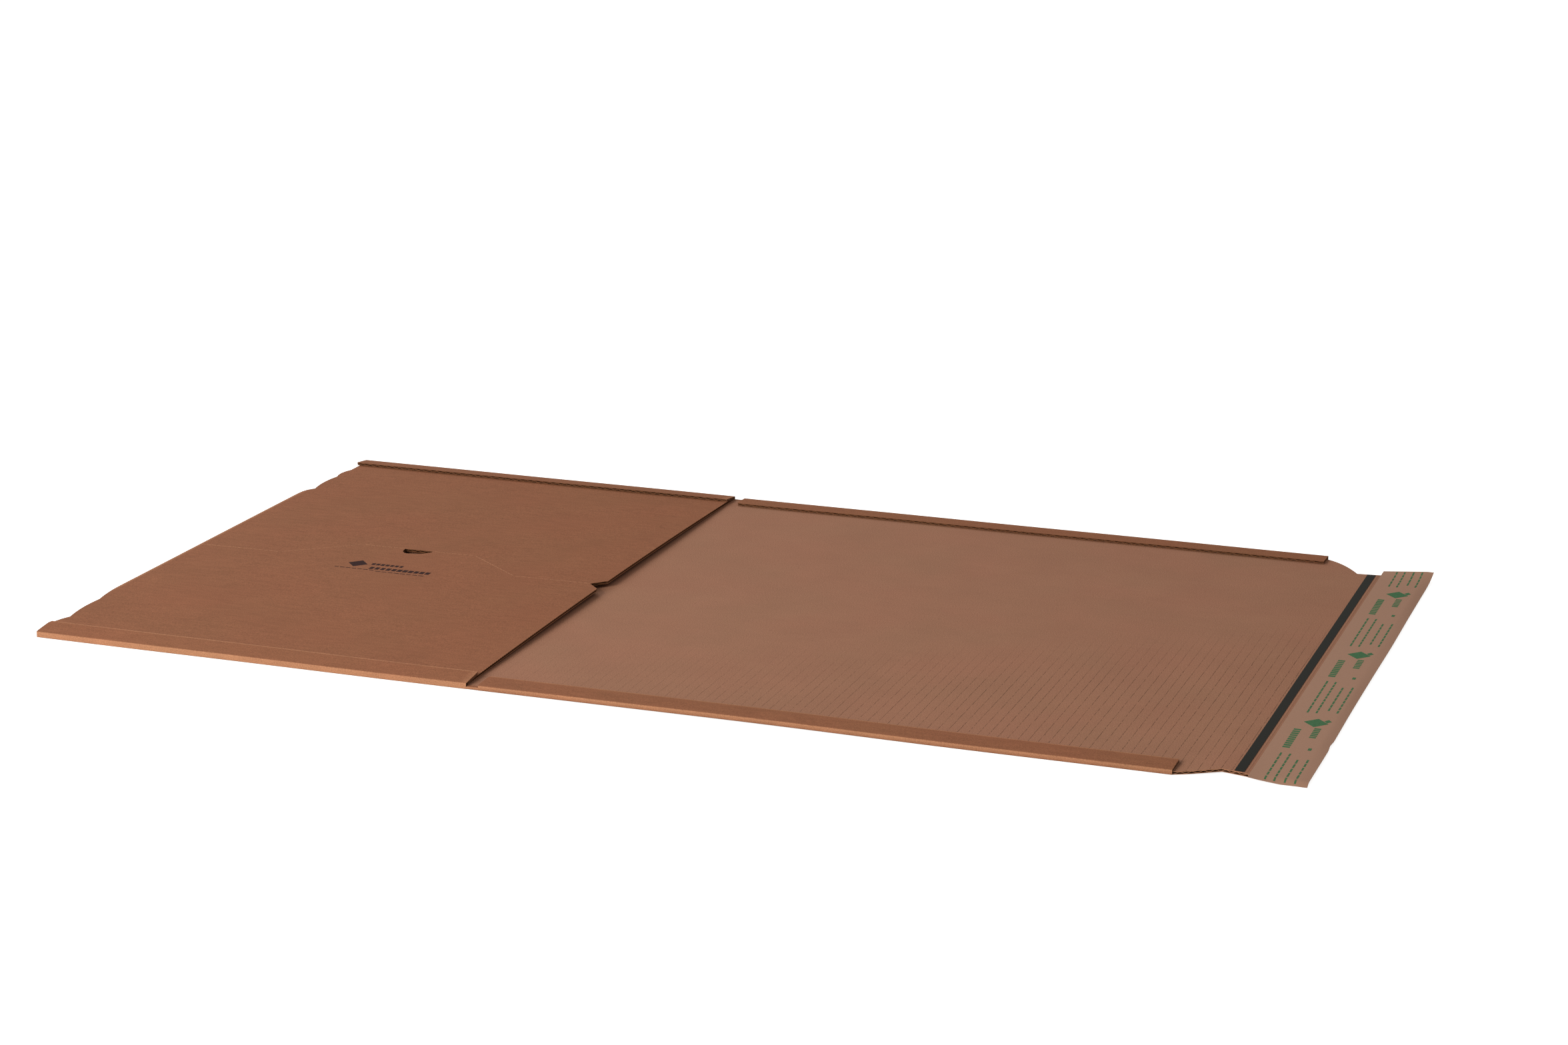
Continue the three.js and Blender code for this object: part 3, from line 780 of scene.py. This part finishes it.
def kraft(name, tone, streak=1.0, crease=0.0):
    """Unbleached kraft paper: a brown with fine pale and dark fibres, in a dull face. A crease
    gives the lines that rolling leaves over the flutes, darkened with painted shade and plainest at
    the near right."""
    material = new_material(name)
    tree = material.node_tree
    rest = add_node(tree, "ShaderNodeAttribute", {"attribute_name": "rest"}).outputs["Vector"]

    def noise(scale, detail, roughness, share_x):
        place = add_node(tree, "ShaderNodeVectorMath", {"operation": "MULTIPLY"},
                         i0=rest, i1=(share_x, 1.0, 1.0)).outputs[0]
        return add_node(tree, "ShaderNodeTexNoise", Vector=place, Scale=scale, Detail=detail,
                        Roughness=roughness).outputs[0]

    def span(value, low, high, out_low, out_high):
        return add_node(tree, "ShaderNodeMapRange", {"clamp": True}, i0=value, i1=low, i2=high,
                        i3=out_low, i4=out_high).outputs[0]

    def maths(kind, a, b):
        return add_node(tree, "ShaderNodeMath", {"operation": kind}, i0=a, i1=b).outputs[0]

    def times(a, b):
        return maths("MULTIPLY", a, b)

    def mixed(share, a, b, blend="MIX"):
        return add_node(tree, "ShaderNodeMix", {"data_type": "RGBA", "blend_type": blend},
                        i0=share, i6=a, i7=b).outputs[2]

    fibre = noise(*fibre_noise)
    flecks = noise(*fleck_noise)
    streaks = noise(*streak_noise)
    clouds = noise(*cloud_noise)
    faint = streak_contrast * streak
    shade = span(fibre, 0.25, 0.75, 1 - fibre_contrast, 1 + fibre_contrast)
    shade = times(shade, span(streaks, 0.3, 0.7, 1 - faint, 1 + faint))
    shade = times(shade, span(clouds, 0.3, 0.7, 1 - cloud_contrast, 1 + cloud_contrast))
    shade = times(shade, span(flecks, *dark_fleck_edge, 1.0, dark_fleck))
    shade = times(shade, span(flecks, *pale_fleck_edge, pale_fleck, 1.0))
    height = span(fibre, 0.2, 0.8, 0.0, 1.0)
    if crease:
        at = add_node(tree, "ShaderNodeSeparateXYZ", Vector=rest).outputs
        stray = span(noise(*stray_noise), 0.3, 0.7, -crease_stray, crease_stray)
        turns = maths("ADD", maths("DIVIDE", at["X"], flute_pitch), stray)
        line = span(maths("PINGPONG", turns, 0.5), *crease_half_width, 1.0, 0.0)
        line = times(line, span(noise(*break_noise), 0.40, 0.55, 0.0, 1.0))
        curve = times(maths("POWER", maths("MAXIMUM", at["X"], 0.0), 2.0), crease_curve)
        below = maths("SUBTRACT", maths("SUBTRACT", curve, crease_y), at["Y"])
        shown = times(span(below, *crease_fade_y, 0.0, 1.0),
                      span(at["X"], *crease_fade_x, crease_least, 1.0))
        line = times(line, shown)
        # Painted shade in the creases' grooves
        shade = times(shade, maths("SUBTRACT", 1.0, times(line, crease)))
        # Painted shade along the score lines
        for score_x in score_lines:
            off = maths("ABSOLUTE", maths("SUBTRACT", at["X"], score_x), 0.0)
            shade = times(shade, span(off, *score_half_width, score_shade, 1.0))
        height = maths("SUBTRACT", height, times(line, crease_depth))
    # Paler where the paper is worn, and where light is painted on the fold faces and the near strips'
    # edge
    wear_and_light = add_node(tree, "ShaderNodeAttribute", {"attribute_name": "wear_and_light"}).outputs["Fac"]
    wear_and_light = times(wear_and_light, span(noise(*wear_and_light_noise), 0.3, 0.6, 0.88, 1.0))
    worn_and_lit = mixed(wear_and_light, (*tone, 1), (*worn_and_lit_tone, 1))
    cooler = span(noise(*hue_noise), 0.35, 0.65, 0.0, 1.0)
    hued = mixed(1.0, worn_and_lit, mixed(cooler, (*warm_tint, 1), (*cool_tint, 1)), "MULTIPLY")
    lit = add_node(tree, "ShaderNodeVectorMath", {"operation": "SCALE"}, i0=hued,
                   Scale=shade).outputs[0]
    bump = add_node(tree, "ShaderNodeBump", Height=height, Strength=0.3, Distance=fibre_relief)
    shader = add_node(tree, "ShaderNodeBsdfPrincipled", Base_Color=lit, Roughness=kraft_roughness,
                      Normal=bump.outputs[0])
    shader.inputs["Specular IOR Level"].default_value = kraft_shine
    add_node(tree, "ShaderNodeOutputMaterial", Surface=shader.outputs[0])
    return material


board_materials = [kraft("outer_kraft", outer_tone),
                   kraft("inner_kraft", inner_tone, streak=0.3, crease=crease_shade),
                   kraft("cut_kraft", cut_and_painted_shade_tone),
                   kraft("hollow_kraft", hollow_painted_shade_tone),
                   kraft("torn_kraft", worn_and_lit_tone)]
fluting = fluting_tree(board_materials[hollow_shade_side])

# The board is put together: the panel's sheets are cut by the die's blades, the base's are not.
# Fluting is made in the panel and where a cut edge of the base shows it.
tuck_row = strip_inner + 5
panel_rows = cross_rows(-panel_half, -tuck_row, -strip_inner, strip_inner, tuck_row, panel_half)
base_side = half_width - skin_start
base_rows = (cross_rows(-base_side, base_side) / base_side + 1) / 2
nose_columns = [nose, nose + 3, nose + 6]
panel_columns = nose_columns + [*np.linspace(nose + bow_start, mouth - tooth_band - seam, 30)]
panel_fluting = (nose + 4.5, mouth - 0.4)
left_fluting = (nose + 2.5, nose + 13)
end_fluting = (shoulder + 0.03, board_end - 0.3)
edge_trim = 0.0005
tooth_rows = np.arange(-panel_half, panel_half + 0.1, tooth_pitch / 4)
blades = bpy.data.objects.new("blades", die_blades(bars_tree(board_materials[cut_and_shade_side])))
bpy.context.collection.objects.link(blades)
board_mesh = bmesh.new()


def add_punched(mesh, sheets):
    """Adds closed sheets of the panel to a mesh once the die's blades have cut them."""
    bmesh.ops.recalc_face_normals(sheets, faces=sheets.faces)
    host = bpy.data.objects.new("panel", bpy.data.meshes.new("panel"))
    sheets.to_mesh(host.data)
    sheets.free()
    bpy.context.collection.objects.link(host)
    punch = host.modifiers.new("punch", "BOOLEAN")
    punch.operation = "DIFFERENCE"
    punch.solver = "EXACT"
    punch.material_mode = "INDEX"
    punch.object = blades
    left = bpy.data.meshes.new_from_object(host.evaluated_get(bpy.context.evaluated_depsgraph_get()))
    mesh.from_mesh(left)
    bpy.data.meshes.remove(left)
    bpy.data.objects.remove(host)


panel_liners, edge_liners, panel_medium = bmesh.new(), bmesh.new(), bmesh.new()
add_liners(panel_liners, panel_place, panel_columns, panel_rows, (inner_side, outer_side, cut_and_shade_side))
add_liners(edge_liners, toothed_place, [mouth - tooth_band, mouth - 0.5, mouth], tooth_rows,
           (inner_side, outer_side, torn_and_lit_side))
add_fluting(panel_medium, fluting, panel_place, *panel_fluting, -panel_half, panel_half, 28)
for sheets in (panel_liners, edge_liners, panel_medium):
    add_punched(board_mesh, sheets)
bpy.data.objects.remove(blades)
add_burrs(board_mesh, bars_tree(board_materials[torn_and_lit_side]))

left_columns = nose_columns + [*np.linspace(nose + bow_start, -spine - 4, 31)]
spine_columns = [-spine - seam, -spine + seam, -spine / 2, 0, spine / 2, spine - seam, spine + seam]
right_columns = [*np.linspace(spine + 4, shoulder - 4, 46), shoulder - seam, shoulder + seam,
                 *np.linspace(shoulder + 2.5, closing, 11), flare_end,
                 *np.linspace(flare_end + 5.5, board_end, 4)]
add_liners(board_mesh, base_place, left_columns + spine_columns + right_columns,
           base_rows, (outer_side, inner_side, torn_and_lit_side))
add_fluting(board_mesh, fluting, base_place, *end_fluting, edge_trim, 1 - edge_trim, 16,
            (hollow_shade_side, torn_and_lit_side))
add_fluting(board_mesh, fluting, base_place, *left_fluting, 0.0, 1.0, 60)
for side in (-1, 1):
    add_spine_edge(board_mesh, side)
    for strip in (pocket_strip, wrap_strip):
        add_strip(board_mesh, fluting, strip, side)
add_nose(board_mesh)
bmesh.ops.recalc_face_normals(board_mesh, faces=board_mesh.faces)


# Paleness of the handled paper, partly wear and partly painted light: how strong it is at the mouth
# and at the near strips' free edge, and how far it reaches from each fold and edge
mouth_wear = 0.55
strip_edge_highlight_and_wear = 0.65
side_wear_and_light_reach = 0.5
side_wear_and_light_fade = 0.4
flap_highlight_height = 1.8
flap_highlight_least = 0.2
nose_wear_reach = 0.7
mouth_wear_reach = 0.45
strip_highlight_reach = 0.7
sharp_angle = math.radians(38)


def wear_and_light_at(x, y, z):
    """How pale the paper is made, from 0 to 1: at the side folds, partly rubbed and partly painted
    light, with a painted highlight along the top of the wrap strips' folds; rubbed at the left fold
    and the mouth; and along the free edge of the near strips, partly torn paper and partly a painted
    highlight."""
    # The side folds' faces: partly rubbed pale, partly painted light
    on_fold = np.clip((np.abs(y) - (half_width - side_wear_and_light_reach)) / side_wear_and_light_fade, 0, 1)
    on_fold *= x < shoulder + 1
    # On the wrap flap the fold face is paler towards its top and darker at its foot: a painted
    # highlight
    on_fold *= np.where(x < 0, 1, np.clip(z / flap_highlight_height, flap_highlight_least, 1))
    on_nose = np.clip((nose + nose_wear_reach - x) / nose_wear_reach, 0, 1)
    on_mouth = mouth_wear * (x > mouth - mouth_wear_reach) * (x < mouth + 0.05)
    on_mouth *= z > panel_top - 0.1
    # A pale line along the near strips' free edge only: partly torn paper, partly a painted highlight
    on_edge = strip_edge_highlight_and_wear * (y < 0) * (np.abs(y + strip_inner) < strip_highlight_reach)
    on_edge *= np.abs(x) > spine - 0.1
    on_edge *= (z > np.where(x < 0, panel_top + ply / 2, ply * 1.5)) * (x < shoulder + 1)
    return np.max([on_fold, on_nose, on_mouth, on_edge], axis=0)


def finish_piece(name, mesh, materials):
    """Turns a bmesh in millimetres into an object in the board's warp. Each point keeps its place
    on the flat board, and its paleness from wear and painted light, for the materials."""
    made = bpy.data.meshes.new(name)
    mesh.to_mesh(made)
    mesh.free()
    at = np.empty(len(made.vertices) * 3)
    made.vertices.foreach_get("co", at)
    at = at.reshape(-1, 3)
    rest = made.attributes.new("rest", "FLOAT_VECTOR", "POINT")
    rest.data.foreach_set("vector", at.ravel())
    wear_and_light = made.attributes.new("wear_and_light", "FLOAT", "POINT")
    wear_and_light.data.foreach_set("value", wear_and_light_at(*at.T).astype(np.float32))
    placed = (warp(at) + (fold_x, 0, 0)) * mm
    made.vertices.foreach_set("co", placed.ravel())
    for material in materials:
        made.materials.append(material)
    made.shade_smooth()
    made.set_sharp_from_angle(angle=sharp_angle)
    made.update()
    piece = bpy.data.objects.new(name, made)
    bpy.context.collection.objects.link(piece)
    return piece


board = finish_piece("board", board_mesh, board_materials)
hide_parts("pocket_board", "wrap_flap")
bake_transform(board)

# The tear strip: a narrow dark film tape glued to the inner liner across the closing end. It
# is pulled to tear the pack open along its edges.
tear_tape_x = closing + 7.5
tear_tape_width = 6.0
tape_lift = 0.02
tape_thickness = 0.2
tape_columns = 60
tape_tone = (0.0135, 0.0132, 0.0100)
grain_scale = 1.4
grain_relief = 0.0001


def add_tape(mesh, x, width, near, far):
    """A flat tape across the closing end, on the inner liner."""
    x, y = grid([x, x + width], np.linspace(near, far, tape_columns))
    low = np.stack([x, y, 0 * x + ply + tape_lift], axis=-1)
    add_sheet(mesh, low, low + (0, 0, tape_thickness), (0, 0, 0))


def film(name, tone, roughness, grain, shine):
    """An even tone with a fine grain, for film, glue, coated paper and ink."""
    material = new_material(name)
    tree = material.node_tree
    rest = add_node(tree, "ShaderNodeAttribute", {"attribute_name": "rest"}).outputs["Vector"]
    speck = add_node(tree, "ShaderNodeTexNoise", Vector=rest, Scale=grain_scale, Detail=3.0,
                     Roughness=0.6).outputs[0]
    shade = add_node(tree, "ShaderNodeMapRange", i0=speck, i1=0.25, i2=0.75,
                     i3=1 - grain, i4=1 + grain).outputs[0]
    lit = add_node(tree, "ShaderNodeVectorMath", {"operation": "SCALE"}, i0=tone,
                   Scale=shade).outputs[0]
    bump = add_node(tree, "ShaderNodeBump", Height=speck, Strength=0.25, Distance=grain_relief)
    shader = add_node(tree, "ShaderNodeBsdfPrincipled", Base_Color=lit, Roughness=roughness,
                      Normal=bump.outputs[0])
    shader.inputs["Specular IOR Level"].default_value = shine
    add_node(tree, "ShaderNodeOutputMaterial", Surface=shader.outputs[0])
    return material


tear_mesh = bmesh.new()
add_tape(tear_mesh, tear_tape_x, tear_tape_width, near_closing + flare, far_closing - flare)
dark_film = film("dark_film", tape_tone, roughness=0.5, grain=0.2, shine=0.08)
tear_strip = finish_piece("tear_tape", tear_mesh, [dark_film])
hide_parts("tear_strip")
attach(tear_strip, "wrap")

# The adhesive: a strip of hot-melt laid on the inner liner beside the tear strip. It seals the
# pack, and is hidden until its liner is peeled off.
adhesive_x = closing + 20
adhesive_width = 22.0
adhesive_margin = 1.0
adhesive_tone = (0.60, 0.46, 0.26)

adhesive_mesh = bmesh.new()
add_tape(adhesive_mesh, adhesive_x, adhesive_width, near_closing + adhesive_margin,
         far_closing - adhesive_margin)
hot_melt = film("hot_melt", adhesive_tone, roughness=0.3, grain=0.06, shine=0.5)
adhesive = finish_piece("adhesive", adhesive_mesh, [hot_melt])
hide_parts("adhesive_strip")
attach(adhesive, "wrap")

# The release liner: coated kraft paper over the adhesive, standing out past the board on three
# sides. Its free edge waves, its near corner droops to the table and its far corner curls up.
liner_box = np.array(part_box("release_liner")) / mm
liner_low = (liner_box[0][0] - fold_x, liner_box[0][1])
liner_high = (liner_box[1][0] - fold_x, liner_box[1][1])
liner_paper = 0.13
liner_seat = ply + 0.25
liner_tone = (0.356, 0.198, 0.134)
free_drop = 0.6
droop_depth = 2.0
droop_run = 20
curl_height = 3.4
curl_run = 30
edge_inset = 0.4
dent_y = -168
dent_depth = 0.7
dent_run = 6
slant = 0.03
slant_run = 8
liner_grid = (25, 300)

# Waves along the release liner: height, run of one radian and start
free_waves = ((0.16, 41, 0.7), (0.08, 17, 1.9))
edge_wave = (0.25, 37, 0.4)


def wave_along(y, height, run, start):
    """A gentle wave along the liner."""
    return height * np.sin(y / run + start)


def free_share(x):
    """0 over the board, rising to 1 at the liner's free edge."""
    return np.clip((x - board_end) / (liner_high[0] - board_end), 0, 1)


def liner_height(x, y):
    """Height of the liner's underside: stuck down over the adhesive, loose beyond the board."""
    wave = wave_along(y, *free_waves[0]) + wave_along(y, *free_waves[1])
    near = np.clip((near_closing - y) / (near_closing - liner_low[1]), 0, 1)
    droop = droop_depth * near ** 1.5 * np.clip((x - liner_low[0]) / droop_run, 0, 1)
    across = (x - liner_low[0]) / (liner_high[0] - liner_low[0])
    far = np.clip((y - far_closing + curl_run) / (liner_high[1] - far_closing + curl_run), 0, 1)
    curl = curl_height * across * far ** 2.5
    return liner_seat + free_share(x) ** 1.3 * (wave - free_drop) - droop + curl


def liner_points(x, y, lift):
    """Points of the liner's underside, or of a surface at this lift above it."""
    dent = dent_depth * np.exp(-((y - dent_y) / dent_run) ** 2)
    edge = wave_along(y, *edge_wave) - dent - edge_inset
    turned = np.clip((near_closing - y) / slant_run, 0, 1) * (x - liner_low[0]) * slant
    z = np.maximum(liner_height(x, y), 0.05)
    return np.stack([x + free_share(x) * edge, y + turned, z + lift], axis=-1)


liner_mesh = bmesh.new()
x, y = grid(np.linspace(liner_low[0], liner_high[0], liner_grid[0]),
            np.linspace(liner_low[1], liner_high[1], liner_grid[1]))
add_sheet(liner_mesh, liner_points(x, y, 0), liner_points(x, y, liner_paper), (0, 0, 0))
coated_kraft = film("coated_kraft", liner_tone, roughness=0.6, grain=0.07, shine=0.1)
release_liner = finish_piece("release_paper", liner_mesh, [coated_kraft])
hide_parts("release_liner")
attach(release_liner, "wrap")

# The print: a repeat of plain green marks and dashes along the release liner, and a plain dark
# mark with rows of dashes beside the thumb hole, each a film of ink on the paper.
ink_paper = 0.03
ink_gap = 0.8
ink_clear = 0.01
ink_shortest = 0.8
ink_rings = 4
green_ink = film("green_ink", (0.062, 0.150, 0.072), roughness=0.8, grain=0.25, shine=0.03)
dark_ink = film("dark_ink", (0.036, 0.015, 0.013), roughness=0.8, grain=0.3, shine=0.03)


def ink_mark(mesh, points, centre, half_x, half_y, turned):
    """A block of ink, upright or turned on its corner, on the surface of points(x, y, lift)."""
    a, b = grid(np.linspace(-1, 1, 5), np.linspace(-1, 1, 5))
    if turned:
        a, b = (a + b) / 2, (b - a) / 2
    x, y = centre[0] + a * half_x, centre[1] + b * half_y
    add_sheet(mesh, points(x, y, 0.0), points(x, y, ink_paper), (0, 0, 0))


def ink_dashes(mesh, tree, points, start, end, width, length, seed):
    """A row of dashes of uneven length from start to end, in a whole number of steps."""
    reach = math.dist(start, end)
    step = 0.999 * reach / max(round(reach / (length + ink_gap)), 1)
    made = bars_between(tree, (*start, 0), (*end, 0), Bar_Length=step - ink_gap, Bar_Gap=ink_gap,
                        Bar_Width=width, Bar_Height=ink_paper, Shortest=ink_shortest, Seed=seed,
                        Rings=ink_rings)
    at = np.empty(len(made.vertices) * 3)
    made.vertices.foreach_get("co", at)
    x, y, z = at.reshape(-1, 3).T
    verts = [mesh.verts.new(p) for p in points(x, y, z + ink_paper / 2)]
    for polygon in made.polygons:
        mesh.faces.new([verts[v] for v in polygon.vertices])
    bpy.data.meshes.remove(made)


def on_liner(x, y, lift):
    """Points just over the liner's face."""
    return liner_points(x, y, liner_paper + ink_clear + lift)


def on_panel(x, y, lift):
    """Points just over the panel's face."""
    where = panel_place(x, y, 0 * x + 1)
    where[..., 2] += ink_clear + lift
    return where


# Each row of green dashes: its x, its two ends from the middle of the repeat, its width and the
# length of a dash. Each green mark: x, distance from the middle, half sizes, on its corner or not.
print_repeat = 149.7
print_start = 170.0
print_margin = 1.5
green_rows = [(515.8, -15, -53, 4.6, 2.9), (527.6, -10, -30, 4.2, 2.9),
              (515.2, -63, -131, 1.2, 6.5), (520.8, -63, -131, 1.2, 5.5),
              (527.2, -73, -124, 1.2, 7.0), (533.3, -71, -127, 1.2, 6.0)]
green_marks = [(524.4, 0, 7.8, 8.5, True), (531.0, 5, 2.4, 3.4, True),
               (530.4, -51.5, 1.1, 2.2, False)]
green_tree = bars_tree(green_ink)
liner_print = bmesh.new()
for k in range(-1, 3):
    middle = print_start - k * print_repeat
    if middle < liner_high[1]:
        for x, off, half_x, half_y, turned in green_marks:
            ink_mark(liner_print, on_liner, (x, middle + off), half_x, half_y, turned)
    for seed, (x, top, bottom, width, length) in enumerate(green_rows):
        high = min(middle + top, liner_high[1] - print_margin)
        low = max(middle + bottom, liner_low[1] + print_margin)
        if high - low > 2 * length:
            ink_dashes(liner_print, green_tree, on_liner, (x, high - length / 2),
                       (x, low + length / 2), width, length, seed + k)
bmesh.ops.recalc_face_normals(liner_print, faces=liner_print.faces)
liner_ink = finish_piece("liner_print", liner_print, [green_ink])
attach(liner_ink, "wrap")

# The dark mark's rows run along x: both ends, y, width and the length of a dash.
dark_rows = [(-180, -158, -25.0, 4.2, 3.0), (-177, -133, -34.3, 5.4, 3.4),
             (-202.5, -175, -39.4, 1.1, 4.0), (-169, -135, -41.0, 1.1, 4.0)]
dark_tree = bars_tree(dark_ink)
panel_print = bmesh.new()
ink_mark(panel_print, on_panel, (-191.5, -27.0), 7.6, 8.0, True)
for seed, (x0, x1, y, width, length) in enumerate(dark_rows):
    ink_dashes(panel_print, dark_tree, on_panel, (x0, y), (x1, y), width, length, seed)
bmesh.ops.recalc_face_normals(panel_print, faces=panel_print.faces)
panel_ink = finish_piece("panel_print", panel_print, [dark_ink])
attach(panel_ink, "pocket")

bpy.context.scene.view_settings.view_transform = "Standard"
